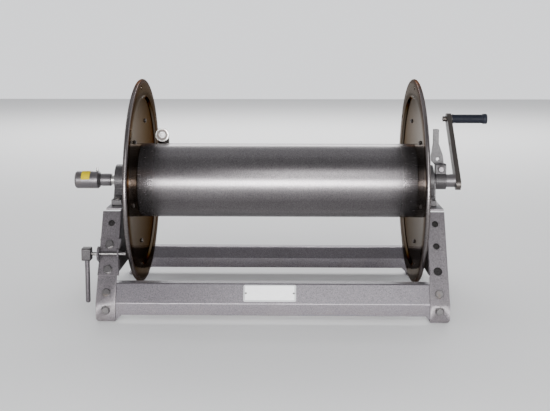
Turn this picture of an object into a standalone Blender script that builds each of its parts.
"""Manual-rewind fire hose reel: a long drum between two large discs on a low
bent-sheet stand, with an inlet swivel, a lock pin, a drag brake and a crank.

Frame: X along the drum axis, Y front to back (front is -Y), Z up. The origin
is on the floor under the middle of the drum. Metres throughout.
"""
import math

import bmesh
import bpy
from mathutils import Matrix, Vector

# ---------------------------------------------------------------- dimensions
GAP = 0.0003
AXIS_Z = 0.346            # drum axis above the floor

DISC_R = 0.2985           # disc radius over the rolled bead
BEAD_R = 0.006
BEAD_X = 0.3985           # plane of the bead centres
DISC_T = 0.003
DISC_IN = 0.3985          # inner face of the flat middle of a disc
RIM_IN = 0.3925           # inner face of the raised outer band
STEP_R0, STEP_R1 = 0.243, 0.248
DISC_BOLT_R = 0.178
DISC_BOLT_A = 15.0        # first of six bolts, degrees from +Y
INDEX_R = 0.277           # circle of the lock-pin holes
INDEX_A = 38.0
INDEX_HOLE_R = 0.0064
HUB_PLATE_R, HUB_PLATE_T = 0.190, 0.004

DRUM_R, DRUM_T = 0.108, 0.003
AXLE_R, AXLE_BORE = 0.0143, 0.009

SHEET = 0.0048            # end-frame plate
LEG_Y, BEND_Z = 0.2615, 0.0495
LEAN = math.radians(27.4)
LEG_TOP_Z = 0.2795
PLATE_TOP_Z = 0.286       # top flange that carries the bearing
PLATE_Y = 0.134
WEB_LOW_Z = 0.120
FOOT_DEPTH = 0.045
LEFT_WEB, LEFT_EDGE, LEFT_TOP_EDGE = -0.436, -0.489, -0.482
RIGHT_WEB, RIGHT_EDGE, RIGHT_TOP_EDGE = 0.4145, 0.4672, 0.4672
LEFT_BOLT_X, RIGHT_BOLT_X = -0.462, 0.4395
LEFT_BEARING_X, RIGHT_BEARING_X = -0.462, 0.440
HOLES = ((0.2487, 0.0092), (0.1925, 0.0092), (0.1303, 0.0120))
FOOT_BOLTS = (0.0745, 0.0310)

RAIL_T = 0.004
RAIL_TOP_Z = 0.0975
RAIL_LIP = 0.026
RAIL_LOW_Z = 0.0153
RAIL_ENDS = (-0.486, 0.4642)

FOOT_CORNER = 0.009

BOLT_R, BOLT_HEAD_AF, BOLT_HEAD_H = 0.006, 0.019, 0.0075

PIN_R = 0.00475
PIN_TRAVEL = 0.016
PIN_TIP_X = -0.4095
PIN_HUB = (-0.5315, -0.5070)
PIN_HANDLE_R, PIN_HANDLE_LOW = 0.0066, 0.0385
BRACKET_T = 0.005

SWIVEL_R, SWIVEL_X = 0.0258, (-0.598, -0.5262)
COLLAR_R, COLLAR_X = 0.01875, (-0.5215, -0.4915)

BRAKE_X, BRAKE_R = (0.4628, 0.4937), 0.026
BRAKE_PIVOT = (0.4785, 0.0353)   # X, height above the axis
CRANK_HUB_X, CRANK_HUB_R = (0.4940, 0.5217), 0.0193
ARM_X, ARM_HALF = (0.5220, 0.5360), 0.0180
CRANK_THROW, CRANK_A = 0.2375, math.radians(45.0)
GRIP_X, GRIP_R = (0.5400, 0.6480), 0.0139

OUTLET_X, OUTLET_Y, OUTLET_Z = -0.347, 0.042, 0.129
RISER_Y, RISER_R, RISER_BORE = 0.076, 0.017, 0.0105


# ---------------------------------------------------------------- collections
for old in list(bpy.data.objects):
    bpy.data.objects.remove(old, do_unlink=True)

PARTS = bpy.data.collections.new("fire_hose_reel")
CUTTERS = bpy.data.collections.new("cutters")
bpy.context.scene.collection.children.link(PARTS)
bpy.context.scene.collection.children.link(CUTTERS)


def material(name, colour, roughness, metallic):
    mat = bpy.data.materials.new(name)
    mat.use_nodes = True
    shader = mat.node_tree.nodes["Principled BSDF"]
    shader.inputs["Base Color"].default_value = (*colour, 1.0)
    shader.inputs["Roughness"].default_value = roughness
    shader.inputs["Metallic"].default_value = metallic
    return mat


FRAME_PAINT = material("frame_paint", (0.24, 0.22, 0.24), 0.42, 0.55)
RAIL_PAINT = material("rail_paint", (0.27, 0.25, 0.27), 0.42, 0.55)
DRUM_PAINT = material("drum_paint", (0.19, 0.18, 0.19), 0.32, 0.60)
DISC_PAINT = material("disc_paint", (0.085, 0.072, 0.060), 0.22, 0.55)
STEEL = material("zinc_steel", (0.62, 0.62, 0.60), 0.30, 1.0)
DARK_STEEL = material("dark_steel", (0.10, 0.095, 0.09), 0.40, 0.9)
CAST = material("cast_iron", (0.16, 0.15, 0.15), 0.55, 0.6)
ALUMINIUM = material("nameplate_aluminium", (0.80, 0.80, 0.81), 0.35, 1.0)
RUBBER = material("grip_rubber", (0.02, 0.022, 0.032), 0.55, 0.0)
SWIVEL_PAINT = material("swivel_steel", (0.30, 0.29, 0.31), 0.38, 0.8)


# ---------------------------------------------------------------- helpers
def place(obj, mat, where=PARTS):
    where.objects.link(obj)
    if mat is not None:
        obj.data.materials.clear()
        obj.data.materials.append(mat)
    return obj


def cutter(obj):
    CUTTERS.objects.link(obj)
    obj.hide_render = True
    obj.display_type = "WIRE"
    return obj


def boolean(obj, tool, kind="DIFFERENCE"):
    mod = obj.modifiers.new(kind.lower(), "BOOLEAN")
    mod.operation = kind
    mod.object = tool
    return mod


def bake(obj):
    """The evaluated mesh of an object, in its own coordinates."""
    bpy.context.view_layer.update()
    graph = bpy.context.evaluated_depsgraph_get()
    return bpy.data.meshes.new_from_object(obj.evaluated_get(graph))


def smooth(mesh, angle=35.0):
    mesh.shade_smooth()
    mesh.set_sharp_from_angle(angle=math.radians(angle))


def lathe(name, profile, mat, steps=32, closed=False, location=(0, 0, AXIS_Z)):
    """Turn (x, r) points, listed from -X to +X on the outside, about X."""
    mesh = bpy.data.meshes.new(name)
    form = bmesh.new()
    # the Screw modifier turns about local Z, and -X end is at local top
    verts = [form.verts.new((r, 0.0, -x)) for x, r in profile]
    for a, b in zip(verts, verts[1:]):
        form.edges.new((a, b))
    if closed:
        form.edges.new((verts[-1], verts[0]))
    form.to_mesh(mesh)
    form.free()
    obj = bpy.data.objects.new(name, mesh)
    screw = obj.modifiers.new("turn", "SCREW")
    screw.axis = "Z"
    screw.steps = steps
    screw.render_steps = steps
    screw.use_merge_vertices = True
    screw.merge_threshold = 0.00005
    screw.use_normal_calculate = False
    obj.rotation_euler = (0.0, -math.pi / 2, 0.0)
    obj.location = location
    place(obj, mat)
    turned = bake(obj)
    obj.modifiers.clear()
    obj.data = turned
    obj.data.name = name
    obj.data.materials.clear()
    obj.data.materials.append(mat)
    smooth(obj.data)
    return obj


def rod(name, radius, depth, location, axis="Z", mat=None, segments=24, tool=False):
    form = bmesh.new()
    bmesh.ops.create_cone(
        form, cap_ends=True, segments=segments, radius1=radius, radius2=radius, depth=depth)
    mesh = bpy.data.meshes.new(name)
    form.to_mesh(mesh)
    form.free()
    smooth(mesh)
    obj = bpy.data.objects.new(name, mesh)
    obj.location = location
    if axis == "X":
        obj.rotation_euler = (0.0, math.pi / 2, 0.0)
    elif axis == "Y":
        obj.rotation_euler = (math.pi / 2, 0.0, 0.0)
    elif axis != "Z":
        obj.rotation_euler = (axis, 0.0, 0.0)
    return cutter(obj) if tool else place(obj, mat)


def box(name, low, high, mat=None, tool=False):
    form = bmesh.new()
    size = Vector(high) - Vector(low)
    middle = (Vector(high) + Vector(low)) / 2
    bmesh.ops.create_cube(form, size=1.0, matrix=Matrix.Diagonal((*size, 1.0)))
    mesh = bpy.data.meshes.new(name)
    form.to_mesh(mesh)
    form.free()
    obj = bpy.data.objects.new(name, mesh)
    obj.location = middle
    return cutter(obj) if tool else place(obj, mat)


def sheet(name, points, faces, thickness, mat):
    """A bent plate: open surface whose normals face the outside of the bends."""
    mesh = bpy.data.meshes.new(name)
    form = bmesh.new()
    verts = [form.verts.new(p) for p in points]
    for face in faces:
        form.faces.new([verts[i] for i in face])
    form.to_mesh(mesh)
    form.free()
    obj = bpy.data.objects.new(name, mesh)
    solid = obj.modifiers.new("thickness", "SOLIDIFY")
    solid.thickness = thickness
    solid.offset = -1.0
    solid.solidify_mode = "NON_MANIFOLD"
    solid.nonmanifold_thickness_mode = "CONSTRAINTS"
    return place(obj, mat)


def plate(name, outline, thickness, mat, tool=False):
    """A flat outline in local XY with rounded arcs given as points."""
    curve = bpy.data.curves.new(name, "CURVE")
    curve.dimensions = "2D"
    curve.fill_mode = "BOTH"
    curve.extrude = thickness / 2
    spline = curve.splines.new("POLY")
    spline.points.add(len(outline) - 1)
    for point, (x, y) in zip(spline.points, outline):
        point.co = (x, y, 0.0, 1.0)
    spline.use_cyclic_u = True
    temp = bpy.data.objects.new(name + "_outline", curve)
    PARTS.objects.link(temp)
    mesh = bake(temp)
    bpy.data.objects.remove(temp, do_unlink=True)
    mesh.name = name
    form = bmesh.new()
    form.from_mesh(mesh)
    bmesh.ops.remove_doubles(form, verts=form.verts, dist=0.00002)
    bmesh.ops.recalc_face_normals(form, faces=form.faces)
    form.to_mesh(mesh)
    form.free()
    smooth(mesh, 30.0)
    obj = bpy.data.objects.new(name, mesh)
    return cutter(obj) if tool else place(obj, mat)


def tube(name, points, radius, mat, tool=False):
    """A round bar or bore along points."""
    curve = bpy.data.curves.new(name, "CURVE")
    curve.dimensions = "3D"
    curve.bevel_depth = radius
    curve.bevel_resolution = 3
    curve.use_fill_caps = True
    spline = curve.splines.new("POLY")
    spline.points.add(len(points) - 1)
    for point, co in zip(spline.points, points):
        point.co = (*co, 1.0)
    temp = bpy.data.objects.new(name + "_path", curve)
    PARTS.objects.link(temp)
    mesh = bake(temp)
    bpy.data.objects.remove(temp, do_unlink=True)
    mesh.name = name
    form = bmesh.new()
    form.from_mesh(mesh)
    bmesh.ops.remove_doubles(form, verts=form.verts, dist=0.00002)
    bmesh.ops.recalc_face_normals(form, faces=form.faces)
    form.to_mesh(mesh)
    form.free()
    smooth(mesh, 40.0)
    obj = bpy.data.objects.new(name, mesh)
    return cutter(obj) if tool else place(obj, mat)


def arc(cx, cy, radius, start, stop, count):
    """Points on an arc, angles in degrees."""
    out = []
    for i in range(count + 1):
        a = math.radians(start + (stop - start) * i / count)
        out.append((cx + radius * math.cos(a), cy + radius * math.sin(a)))
    return out


def hex_bolt(name, across, height, radius, length):
    """A hexagon head on a round shank; the head's underside is at local 0."""
    form = bmesh.new()
    bmesh.ops.create_cone(
        form, cap_ends=True, segments=6, radius1=across / math.sqrt(3),
        radius2=across / math.sqrt(3), depth=height,
        matrix=Matrix.Translation((0, 0, height / 2)))
    mesh = bpy.data.meshes.new(name)
    form.to_mesh(mesh)
    form.free()
    head = place(bpy.data.objects.new(name + "_head", mesh), STEEL)
    shank = rod(name + "_shank", radius, length + 0.002, (0, 0, -length / 2 + 0.001),
                segments=14, tool=True)
    boolean(head, shank, "UNION")
    made = bake(head)
    made.name = name
    bpy.data.objects.remove(head, do_unlink=True)
    bpy.data.objects.remove(shank, do_unlink=True)
    smooth(made, 25.0)
    return made


def screwed(name, mesh, location, tilt):
    """A bolt whose head points along +Z turned about X by tilt."""
    obj = bpy.data.objects.new(name, mesh)
    obj.location = location
    obj.rotation_euler = (tilt, 0.0, 0.0)
    return place(obj, None)


def slope_y(z, depth=0.0):
    """Distance from the middle of the stand to a leg's sloping face."""
    return LEG_Y - (z - BEND_Z) * math.tan(LEAN) - depth / math.cos(LEAN)


SLOPE_TILT = math.pi / 2 - LEAN


# ---------------------------------------------------------------- end frames
def end_frame(name, web, edge, top_edge, bolt_x, with_bracket):
    """One bent plate: web beside the disc, two leg faces, feet, top flange."""
    out = 1.0 if edge > web else -1.0
    top_y = PLATE_Y
    near_y = slope_y(LEG_TOP_Z)
    points = []
    faces = []

    def add(*pts):
        start = len(points)
        points.extend(pts)
        return list(range(start, start + len(pts)))

    for side in (-1.0, 1.0):
        low = LEG_Y
        web_line = [
            (web, side * (low - FOOT_DEPTH), 0.0),
            (web, side * low, 0.0),
            (web, side * low, BEND_Z),
            (web, side * slope_y(WEB_LOW_Z), WEB_LOW_Z),
            (web, side * near_y, LEG_TOP_Z)]
        edge_line = [(edge, p[1], p[2]) for p in web_line]
        w = add(*web_line)
        e = add(*edge_line)
        for i in range(4):
            quad = [w[i], w[i + 1], e[i + 1], e[i]]
            if out * side < 0:
                quad.reverse()
            faces.append(quad)
        if side < 0:
            front = w
        else:
            rear = w
    top_web = add((web, -top_y, PLATE_TOP_Z), (web, top_y, PLATE_TOP_Z))
    top_out = add((top_edge, -top_y, PLATE_TOP_Z), (top_edge, top_y, PLATE_TOP_Z))
    web_face = [front[3], front[4], top_web[0], top_web[1], rear[4], rear[3]]
    top_face = [top_web[0], top_out[0], top_out[1], top_web[1]]
    if out < 0:
        web_face.reverse()
        top_face.reverse()
    faces.append(web_face)
    faces.append(top_face)
    obj = sheet(name, points, faces, SHEET, FRAME_PAINT)

    # rounded lower outer corner
    corner = [(edge + out * 0.01, -0.01), (edge + out * 0.01, FOOT_CORNER), (edge, FOOT_CORNER)]
    corner += [(edge - out * FOOT_CORNER * (1 - math.cos(math.radians(a))),
                FOOT_CORNER * (1 - math.sin(math.radians(a)))) for a in (22.5, 45.0, 67.5, 90.0)]
    corner.append((edge - out * FOOT_CORNER, -0.01))
    for side in (-1.0, 1.0):
        tool = plate(f"{name}_corner_{int(side)}", corner, 0.12, None, tool=True)
        tool.rotation_euler = (math.pi / 2, 0.0, 0.0)
        tool.location = (0.0, side * LEG_Y, 0.0)
        boolean(obj, tool)

    # accessory holes, foot-bolt holes, bearing-bolt holes, floor holes
    for side in (-1.0, 1.0):
        tilt = SLOPE_TILT * (1.0 if side < 0 else -1.0)
        for row, (z, radius) in enumerate(HOLES):
            if with_bracket and side < 0 and row > 0:
                radius = BOLT_R + GAP
            tool = rod(f"{name}_hole_{row}_{int(side)}", radius, 0.03,
                       (bolt_x, side * slope_y(z), z), tilt, segments=20, tool=True)
            boolean(obj, tool)
        z = FOOT_BOLTS[0]
        boolean(obj, rod(f"{name}_foot_a_{int(side)}", BOLT_R + GAP, 0.03,
                         (bolt_x, side * slope_y(z), z), tilt, segments=14, tool=True))
        boolean(obj, rod(f"{name}_foot_b_{int(side)}", BOLT_R + GAP, 0.03,
                         (bolt_x, side * LEG_Y, FOOT_BOLTS[1]), "Y", segments=14, tool=True))
        boolean(obj, rod(f"{name}_floor_{int(side)}", 0.0056, 0.03,
                         (bolt_x, side * (LEG_Y - 0.0315), 0.0), "Z", segments=20, tool=True))
    return obj


LEFT_FRAME = end_frame(
    "left_end_frame", LEFT_WEB, LEFT_EDGE, LEFT_TOP_EDGE, LEFT_BOLT_X, True)
RIGHT_FRAME = end_frame(
    "right_end_frame", RIGHT_WEB, RIGHT_EDGE, RIGHT_TOP_EDGE, RIGHT_BOLT_X, False)


# ---------------------------------------------------------------- cross rails
def rail(name, side):
    """A bent strip behind the leg faces: foot, face, slope and top lip."""
    inset = SHEET + GAP
    bend_z = BEND_Z - inset * math.tan(LEAN / 2)
    low_y = LEG_Y - inset
    top_y = slope_y(RAIL_TOP_Z, inset)
    line = [
        (low_y, SHEET + GAP),
        (low_y, bend_z),
        (top_y, RAIL_TOP_Z),
        (top_y - RAIL_LIP, RAIL_TOP_Z)]
    points = []
    for x in RAIL_ENDS:
        points.extend((x, side * y, z) for y, z in line)
    faces = []
    for i in range(3):
        quad = [i, i + 4, i + 5, i + 1]
        if side > 0:
            quad.reverse()
        faces.append(quad)
    obj = sheet(name, points, faces, RAIL_T, RAIL_PAINT)
    left, right = LEFT_WEB + 0.0045, RIGHT_WEB - 0.0005
    rise = RAIL_LOW_Z
    relief = plate(name + "_relief", [
        (left, -0.001), (right, -0.001), (right, 0.004),
        (right - rise + 0.004, rise), (left + rise - 0.004, rise), (left, 0.004)],
        0.06, None, tool=True)
    relief.rotation_euler = (math.pi / 2, 0.0, 0.0)
    relief.location = (0.0, side * LEG_Y, 0.0)
    boolean(obj, relief)
    tilt = SLOPE_TILT * (1.0 if side < 0 else -1.0)
    for x in (LEFT_BOLT_X, RIGHT_BOLT_X):
        z = FOOT_BOLTS[0]
        boolean(obj, rod(f"{name}_bolt_a_{x:.2f}", BOLT_R + GAP, 0.04,
                         (x, side * slope_y(z), z), tilt, segments=14, tool=True))
        boolean(obj, rod(f"{name}_bolt_b_{x:.2f}", BOLT_R + GAP, 0.04,
                         (x, side * LEG_Y, FOOT_BOLTS[1]), "Y", segments=14, tool=True))
    return obj


rail("front_rail", -1.0)
rail("rear_rail", 1.0)

RAIL_BOLT = hex_bolt("rail_bolt", BOLT_HEAD_AF, BOLT_HEAD_H, BOLT_R, 0.017)
for side, depth in ((-1.0, "front"), (1.0, "rear")):
    tilt = SLOPE_TILT * (1.0 if side < 0 else -1.0)
    for x, hand in ((LEFT_BOLT_X, "left"), (RIGHT_BOLT_X, "right")):
        z = FOOT_BOLTS[0]
        normal = Vector((0.0, side * math.cos(LEAN), math.sin(LEAN)))
        seat = Vector((x, side * slope_y(z), z)) + normal * GAP
        screwed(f"rail_bolt_{depth}_{hand}_upper", RAIL_BOLT, seat, tilt)
        seat = Vector((x, side * (LEG_Y + GAP), FOOT_BOLTS[1]))
        screwed(f"rail_bolt_{depth}_{hand}_lower", RAIL_BOLT, seat,
                -side * math.pi / 2)

# nameplate on the sloping face of the front rail
NAME_Z = (0.0555, 0.0965)
half_w, half_h, corner = 0.0716, (NAME_Z[1] - NAME_Z[0]) / 2 / math.cos(LEAN), 0.006
outline = []
for cx, cy, start in ((half_w, half_h, 0), (-half_w, half_h, 90),
                      (-half_w, -half_h, 180), (half_w, -half_h, 270)):
    sx, sy = math.copysign(corner, cx), math.copysign(corner, cy)
    outline.extend(arc(cx - sx, cy - sy, corner, start, start + 90, 4))
nameplate = plate("nameplate", outline, 0.0012, ALUMINIUM)
nameplate.rotation_euler = (SLOPE_TILT, 0.0, 0.0)
name_z = sum(NAME_Z) / 2
lift = -(SHEET + GAP) + GAP + 0.0006
nameplate.location = (
    -0.018, -slope_y(name_z) - lift * math.cos(LEAN), name_z + lift * math.sin(LEAN))


# ---------------------------------------------------------------- bearings
def bearing(hand, x):
    """A pillow block on the top flange, its bearing insert and two bolts."""
    foot = PLATE_TOP_Z + GAP - AXIS_Z
    ring = arc(0.0, 0.0, 0.046, 204, -24, 22)
    pad = foot + 0.015
    outline = ([(-0.088, foot), (-0.088, pad), (-0.054, pad)]
               + ring + [(0.054, pad), (0.088, pad), (0.088, foot)])
    housing = plate(f"{hand}_bearing_housing", outline, 0.029, CAST)
    housing.rotation_euler = (math.pi / 2, 0.0, math.pi / 2)
    housing.location = (x, 0.0, AXIS_Z)
    boolean(housing, rod(f"{hand}_housing_bore", 0.0305, 0.05, (x, 0, AXIS_Z), "X",
                         segments=32, tool=True))
    lathe(f"{hand}_bearing_insert", [
        (-0.0165, AXLE_R + GAP), (-0.0165, 0.021), (-0.0142, 0.0215), (-0.0142, 0.0302),
        (0.0142, 0.0302), (0.0142, 0.0215), (0.0165, 0.021), (0.0165, AXLE_R + GAP)],
        STEEL, steps=32, closed=True, location=(x, 0.0, AXIS_Z))
    for y, spot in ((-0.070, "front"), (0.070, "rear")):
        top = PLATE_TOP_Z + 0.015 + 2 * GAP
        boolean(housing, rod(f"{hand}_housing_hole_{spot}", BOLT_R + GAP, 0.06,
                             (x, y, PLATE_TOP_Z), "Z", segments=14, tool=True))
        frame = LEFT_FRAME if hand == "left" else RIGHT_FRAME
        boolean(frame, rod(f"{hand}_flange_hole_{spot}", BOLT_R + GAP, 0.03,
                           (x, y, PLATE_TOP_Z), "Z", segments=14, tool=True))
        screwed(f"{hand}_bearing_bolt_{spot}", BEARING_BOLT, (x, y, top), 0.0)


BEARING_BOLT = hex_bolt("bearing_bolt", BOLT_HEAD_AF, 0.008, BOLT_R, 0.029)
bearing("left", LEFT_BEARING_X)
bearing("right", RIGHT_BEARING_X)


# ---------------------------------------------------------------- drum and discs
barrel = lathe("drum_barrel", [
    (-DISC_IN + GAP, DRUM_R - DRUM_T), (-DISC_IN + GAP, DRUM_R),
    (DISC_IN - GAP, DRUM_R), (DISC_IN - GAP, DRUM_R - DRUM_T)],
    DRUM_PAINT, steps=72, closed=True)
boolean(barrel, rod("riser_slot", RISER_R + 0.002, 0.10,
                    (OUTLET_X, RISER_Y, AXIS_Z + 0.10), "Z", tool=True))


def disc(hand, sign):
    """A pressed disc: flat middle, step, raised band and solid rolled bead."""
    inner = [(DISC_IN, AXLE_R + GAP), (DISC_IN, STEP_R0), (RIM_IN, STEP_R1)]
    centre_r = DISC_R - BEAD_R
    bead = []
    for i in range(11):
        a = math.radians(180.0 - 245.0 * i / 10)
        bead.append((BEAD_X + BEAD_R * math.cos(a), centre_r + BEAD_R * math.sin(a)))
    outer = [(RIM_IN + DISC_T, centre_r - 0.0052), (RIM_IN + DISC_T, STEP_R1 + 0.0015),
             (DISC_IN + DISC_T, STEP_R0 + 0.0015), (DISC_IN + DISC_T, AXLE_R + GAP)]
    profile = [(sign * x, r) for x, r in inner + bead + outer]
    if sign < 0:
        profile.reverse()
    obj = lathe(f"{hand}_disc", profile, DISC_PAINT, steps=72, closed=True)
    for k in range(6):
        a = math.radians(INDEX_A + 60.0 * k)
        boolean(obj, rod(f"{hand}_index_{k}", INDEX_HOLE_R, 0.04,
                         (sign * BEAD_X, INDEX_R * math.cos(a), AXIS_Z + INDEX_R * math.sin(a)),
                         "X", segments=14, tool=True))
    plate_in = DISC_IN + DISC_T + GAP
    plate_out = plate_in + HUB_PLATE_T
    ends = [(sign * plate_in, AXLE_R + GAP), (sign * plate_in, HUB_PLATE_R),
            (sign * plate_out, HUB_PLATE_R), (sign * plate_out, AXLE_R + GAP)]
    if sign < 0:
        ends.reverse()
    hub = lathe(f"{hand}_hub_plate", ends, DISC_PAINT, steps=48, closed=True)
    for k in range(6):
        a = math.radians(DISC_BOLT_A + 60.0 * k)
        spot = (DISC_BOLT_R * math.cos(a), AXIS_Z + DISC_BOLT_R * math.sin(a))
        tool = rod(f"{hand}_disc_hole_{k}", 0.005 + GAP, 0.05,
                   (sign * DISC_IN, spot[0], spot[1]), "X", segments=12, tool=True)
        boolean(obj, tool)
        boolean(hub, tool)
        bolt = bpy.data.objects.new(f"{hand}_disc_bolt_{k + 1}", DISC_BOLT)
        bolt.location = (sign * (DISC_IN - GAP), spot[0], spot[1])
        bolt.rotation_euler = (0.0, -sign * math.pi / 2, 0.0)
        place(bolt, None)
    return obj


DISC_BOLT = hex_bolt("disc_bolt", 0.015, 0.005, 0.005, 0.0095)
disc("left", -1.0)
disc("right", 1.0)

# hollow inlet axle with a side port, and the solid crank-side axle
inlet_axle = lathe("inlet_axle", [
    (-0.560, AXLE_BORE), (-0.560, AXLE_R - 0.001), (-0.559, AXLE_R),
    (-0.316, AXLE_R), (-0.315, AXLE_R - 0.001), (-0.315, AXLE_BORE)],
    STEEL, steps=28, closed=True)
port_a = math.radians(35.0)
port = rod("axle_port", RISER_BORE * 0.8, 0.03, (OUTLET_X, 0.0, AXIS_Z), tool=True)
port.rotation_euler = (-(math.pi / 2 - port_a), 0.0, 0.0)
port.location = (OUTLET_X, 0.015 * math.cos(port_a), AXIS_Z + 0.015 * math.sin(port_a))
boolean(inlet_axle, port)
lathe("crank_axle", [
    (0.300, 0.0), (0.300, AXLE_R - 0.001), (0.301, AXLE_R), (0.5350, AXLE_R),
    (0.5360, AXLE_R - 0.001), (0.5360, 0.0)], STEEL, steps=28)

# riser from the axle through the barrel to the hose outlet above the drum
start = AXLE_R + GAP + 0.004
path = [(start * math.cos(port_a), start * math.sin(port_a))]
path.append((0.036 * math.cos(port_a), 0.036 * math.sin(port_a)))
path.extend(arc(0.044, 0.052, 0.032, -50, 0, 4))
bend_r = 0.022
path.extend(arc(RISER_Y - bend_r, OUTLET_Z - bend_r, bend_r, 0, 90, 5))
path[-1] = (min(path[-1][0], RISER_Y - bend_r), OUTLET_Z)
outer_path = [(OUTLET_X, y, AXIS_Z + z) for y, z in path]
outer_path.append((OUTLET_X, OUTLET_Y + 0.003, AXIS_Z + OUTLET_Z))
riser = tube("outlet_riser", outer_path, RISER_R, DARK_STEEL)
bore_path = [(OUTLET_X, 0.012 * math.cos(port_a), AXIS_Z + 0.012 * math.sin(port_a))]
bore_path += outer_path + [(OUTLET_X, OUTLET_Y - 0.02, AXIS_Z + OUTLET_Z)]
boolean(riser, tube("riser_bore", bore_path, RISER_BORE, None, tool=True))
outlet = lathe("outlet_bushing", [
    (-0.0055, RISER_R + GAP), (-0.0055, 0.0190), (-0.0040, 0.0205), (0.0045, 0.0205),
    (0.0055, 0.0195), (0.0055, RISER_R + GAP)], STEEL, steps=28, closed=True)
outlet.rotation_euler = (math.pi / 2, 0.0, 0.0)
outlet.location = (OUTLET_X, OUTLET_Y + 0.0055, AXIS_Z + OUTLET_Z)


# ---------------------------------------------------------------- inlet swivel
lathe("swivel_body", [
    (SWIVEL_X[0], 0.0165), (SWIVEL_X[0], 0.0225), (SWIVEL_X[0] + 0.0040, SWIVEL_R),
    (SWIVEL_X[1] - 0.0050, SWIVEL_R), (SWIVEL_X[1], 0.0215),
    (SWIVEL_X[1], AXLE_R + GAP), (-0.5640, AXLE_R + GAP), (-0.5660, 0.0150)],
    SWIVEL_PAINT, steps=36, closed=True)
lathe("inlet_collar", [
    (-0.5258, AXLE_R + GAP), (-0.5258, 0.0165), (COLLAR_X[0], COLLAR_R),
    (COLLAR_X[1] - 0.003, COLLAR_R), (COLLAR_X[1], 0.0170), (COLLAR_X[1], AXLE_R + GAP)],
    SWIVEL_PAINT, steps=32, closed=True)
nipple = lathe("grease_nipple", [
    (0.0, 0.0), (0.0, 0.0040), (0.003, 0.0040), (0.004, 0.0028), (0.0075, 0.0026),
    (0.0085, 0.0034), (0.0105, 0.0030), (0.0115, 0.0)], STEEL, steps=16)
nipple.rotation_euler = (math.pi, 0.0, 0.0)
nipple.location = (-0.5345, 0.0, AXIS_Z + SWIVEL_R + GAP + 0.0001)


# ---------------------------------------------------------------- lock pin
PIN_Y = INDEX_R * math.cos(math.radians(INDEX_A + 180.0))
PIN_Z = AXIS_Z + INDEX_R * math.sin(math.radians(INDEX_A + 180.0))
BRACKET_Z = (0.1166, 0.2074)
# bracket axes: x along X, y up the slope, z outward from the leg face
mid_z = sum(BRACKET_Z) / 2
half_l = (BRACKET_Z[1] - BRACKET_Z[0]) / 2 / math.cos(LEAN)
normal = Vector((0.0, -math.cos(LEAN), math.sin(LEAN)))
base = Vector((0.0, -slope_y(mid_z), mid_z))
pin_rel = Vector((0.0, PIN_Y, PIN_Z)) - base
pin_v = pin_rel.dot(Vector((0.0, math.sin(LEAN), math.cos(LEAN))))
pin_w = pin_rel.dot(normal)
xl, xr = -0.4895, -0.4305
ear_l, ear_r = 0.019, 0.0145
out_l, out_r = pin_w + 0.016, pin_w + 0.012
w0 = GAP
pts = [
    (xl, -half_l, w0), (xr, -half_l, w0), (xr, pin_v - ear_r, w0), (xr, pin_v + ear_r, w0),
    (xr, half_l, w0), (xl, half_l, w0), (xl, pin_v + ear_l, w0), (xl, pin_v - ear_l, w0),
    (xl, pin_v - ear_l, out_l - 0.008), (xl, pin_v - ear_l + 0.008, out_l),
    (xl, pin_v + ear_l - 0.008, out_l), (xl, pin_v + ear_l, out_l - 0.008),
    (xr, pin_v - ear_r, out_r - 0.006), (xr, pin_v - ear_r + 0.006, out_r),
    (xr, pin_v + ear_r - 0.006, out_r), (xr, pin_v + ear_r, out_r - 0.006)]
quads = [
    (7, 6, 5, 4, 3, 2, 1, 0),
    (6, 7, 8, 9, 10, 11),
    (2, 3, 15, 14, 13, 12)]
bracket = sheet("pin_bracket", pts, quads, BRACKET_T, FRAME_PAINT)
bracket.rotation_euler = (SLOPE_TILT, 0.0, 0.0)
bracket.location = base
boolean(bracket, rod("pin_bracket_bore", PIN_R + 0.0004, 0.12, (-0.460, PIN_Y, PIN_Z), "X",
                     segments=20, tool=True))
BRACKET_BOLT = hex_bolt("bracket_bolt", 0.021, 0.008, BOLT_R, 0.020)
for z, spot in ((HOLES[1][0], "upper"), (HOLES[2][0], "lower")):
    seat = Vector((LEFT_BOLT_X, -slope_y(z), z)) + normal * (2 * GAP + BRACKET_T)
    boolean(bracket, rod(f"bracket_hole_{spot}", BOLT_R + GAP, 0.03, seat, SLOPE_TILT,
                         segments=14, tool=True))
    screwed(f"pin_bracket_bolt_{spot}", BRACKET_BOLT, seat, SLOPE_TILT)

lathe("lock_pin", [
    (-0.5300, 0.0), (-0.5300, PIN_R - 0.0005), (-0.5295, PIN_R), (PIN_TIP_X - 0.003, PIN_R),
    (PIN_TIP_X, PIN_R - 0.002), (PIN_TIP_X, 0.0)], STEEL, steps=20,
    location=(0.0, PIN_Y, PIN_Z))
hub_outline = []
for cx, cy, start in ((0.015, 0.0175, 0), (-0.015, 0.0175, 90),
                      (-0.015, -0.0175, 180), (0.015, -0.0175, 270)):
    sx, sy = math.copysign(0.005, cx), math.copysign(0.005, cy)
    hub_outline.extend(arc(cx - sx, cy - sy, 0.005, start, start + 90, 3))
pin_hub = plate("pin_hub", hub_outline, PIN_HUB[1] - PIN_HUB[0], CAST)
pin_hub.rotation_euler = (math.pi / 2, 0.0, math.pi / 2)
pin_hub.location = (sum(PIN_HUB) / 2, PIN_Y, PIN_Z)
boolean(pin_hub, rod("pin_hub_bore", PIN_R + GAP, 0.06, (-0.514, PIN_Y, PIN_Z), "X",
                     segments=20, tool=True))
handle_x = sum(PIN_HUB) / 2 + 0.0005
handle_top = PIN_Z - 0.0175 - GAP
handle = lathe("pin_handle", [
    (0.0, 0.0), (0.0, PIN_HANDLE_R),
    (handle_top - PIN_HANDLE_LOW - 0.005, PIN_HANDLE_R),
    (handle_top - PIN_HANDLE_LOW - 0.0015, PIN_HANDLE_R - 0.002),
    (handle_top - PIN_HANDLE_LOW, 0.0)], FRAME_PAINT, steps=20)
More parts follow.
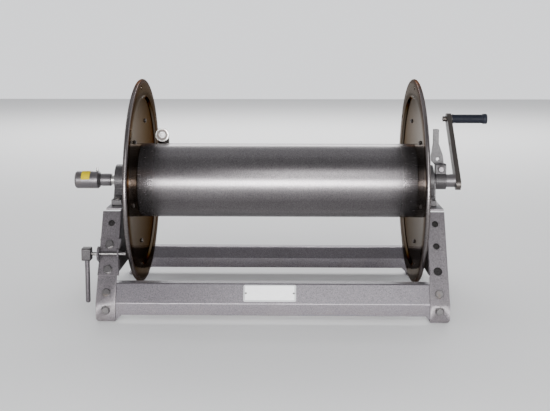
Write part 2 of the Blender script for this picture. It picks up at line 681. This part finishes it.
handle.rotation_euler = (0.0, 0.0, 0.0)
handle.location = (handle_x, PIN_Y, handle_top)


# ---------------------------------------------------------------- drag brake
stay_outline = arc(0.0, 0.0, 0.022, 200, -20, 14)
stay_foot = PLATE_TOP_Z + GAP - AXIS_Z
stay_outline = [(-0.026, stay_foot)] + stay_outline + [(0.026, stay_foot)]
stay = plate("brake_stay", stay_outline, 0.004, FRAME_PAINT)
stay.rotation_euler = (math.pi / 2, 0.0, math.pi / 2)
stay.location = (0.4605, 0.0, AXIS_Z)
boolean(stay, rod("brake_stay_bore", AXLE_R + 0.0008, 0.02, (0.4605, 0, AXIS_Z), "X",
                  segments=28, tool=True))

brake_mid = sum(BRAKE_X) / 2
ears = arc(0.0, 0.0, BRAKE_R, 122.6, 417.4, 30)
ears += [(0.014, 0.0465), (0.010, 0.0503), (-0.010, 0.0503), (-0.014, 0.0465)]
collar = plate("brake_collar", ears, BRAKE_X[1] - BRAKE_X[0] - 0.0002, CAST)
collar.rotation_euler = (math.pi / 2, 0.0, math.pi / 2)
collar.location = (brake_mid, 0.0, AXIS_Z)
boolean(collar, rod("brake_bore", AXLE_R + 0.0006, 0.06, (brake_mid, 0, AXIS_Z), "X",
                    segments=28, tool=True))
boolean(collar, box("brake_slot", (BRAKE_X[0] - 0.01, -0.0015, AXIS_Z + 0.005),
                    (BRAKE_X[1] + 0.01, 0.0015, AXIS_Z + 0.07), tool=True))
screw_at = (BRAKE_PIVOT[0], 0.0, AXIS_Z + BRAKE_PIVOT[1])
boolean(collar, rod("brake_screw_hole", 0.005 + GAP, 0.08, screw_at, "Y", segments=16,
                    tool=True))
lathe("brake_screw", [
    (-0.0205, 0.0), (-0.0205, 0.0080), (-0.0195, 0.0095), (-0.0143, 0.0095),
    (-0.0143, 0.0050), (0.0255, 0.0050), (0.0260, 0.0)], STEEL, steps=20,
    location=screw_at).rotation_euler = (math.pi / 2, 0.0, 0.0)

lever_outline = [
    (-0.0210, 0.1500), (-0.0190, 0.1510), (-0.0055, 0.1510), (-0.0035, 0.1495),
    (-0.0035, 0.1080), (0.0090, 0.0740), (0.0110, 0.0600), (0.0120, 0.0480),
    (0.0125, 0.0353)]
lever_outline += arc(0.0, BRAKE_PIVOT[1], 0.0125, 0, -180, 8)[1:]
lever_outline += [(-0.0150, 0.0450), (-0.0250, 0.0560), (-0.0262, 0.0700),
                  (-0.0210, 0.1080)]
lever = plate("brake_lever", lever_outline, 0.006, FRAME_PAINT)
for vert in lever.data.vertices:
    vert.co.y -= BRAKE_PIVOT[1]
lever.rotation_euler = (math.pi / 2, 0.0, 0.0)
lever.location = (screw_at[0], 0.0143 + 0.0031, screw_at[2])
boolean(lever, rod("lever_bore", 0.005 + GAP, 0.05, (screw_at[0], 0.017, screw_at[2]), "Y",
                   segments=16, tool=True))
boolean(lever, rod("lever_hole", 0.0050, 0.05, (0.4720, 0.017, AXIS_Z + 0.062), "Y",
                   segments=16, tool=True))


# ---------------------------------------------------------------- crank
lathe("crank_hub", [
    (CRANK_HUB_X[0], AXLE_R + GAP), (CRANK_HUB_X[0], CRANK_HUB_R - 0.001),
    (CRANK_HUB_X[0] + 0.001, CRANK_HUB_R), (CRANK_HUB_X[1], CRANK_HUB_R),
    (CRANK_HUB_X[1], AXLE_R + GAP)], STEEL, steps=32, closed=True)
# arm outline drawn along local X, then turned up and back
arm_outline = arc(CRANK_THROW, 0.0, ARM_HALF, -90, 90, 12)
arm_outline += arc(-0.012, 0.0, ARM_HALF, 90, 270, 12)
arm = plate("crank_arm", arm_outline, ARM_X[1] - ARM_X[0], DARK_STEEL)
arm.matrix_world = (
    Matrix.Translation((sum(ARM_X) / 2, 0.0, AXIS_Z))
    @ Matrix.Rotation(CRANK_A, 4, "X")
    @ Matrix.Rotation(math.pi / 2, 4, "Z")
    @ Matrix.Rotation(math.pi / 2, 4, "X"))
grip_y = CRANK_THROW * math.cos(CRANK_A)
grip_z = AXIS_Z + CRANK_THROW * math.sin(CRANK_A)
boolean(arm, rod("arm_bore", AXLE_R + GAP, 0.05, (0.529, 0, AXIS_Z), "X", segments=28,
                 tool=True))
boolean(arm, rod("arm_spindle_hole", 0.006 + GAP, 0.05, (0.529, grip_y, grip_z), "X",
                 segments=18, tool=True))
lathe("grip_spindle", [
    (0.5105, 0.0), (0.5105, 0.0070), (0.5120, 0.0086), (0.5217, 0.0086), (0.5217, 0.0060),
    (0.6430, 0.0060), (0.6440, 0.0050), (0.6440, 0.0)], STEEL, steps=20,
    location=(0.0, grip_y, grip_z))
lathe("grip_washer", [
    (0.5363, 0.0060 + GAP), (0.5363, 0.0140), (0.5390, 0.0140), (0.5390, 0.0060 + GAP)],
    STEEL, steps=20, closed=True, location=(0.0, grip_y, grip_z))
ribs = [(GRIP_X[0], 0.0064), (GRIP_X[0], 0.0148), (0.5440, 0.0148), (0.5450, GRIP_R)]
ribs += [(0.6330, GRIP_R), (0.6345, 0.0160), (0.6450, 0.0160), (GRIP_X[1], 0.0135),
         (GRIP_X[1], 0.0064)]
lathe("crank_grip", ribs, RUBBER, steps=28, closed=True, location=(0.0, grip_y, grip_z))
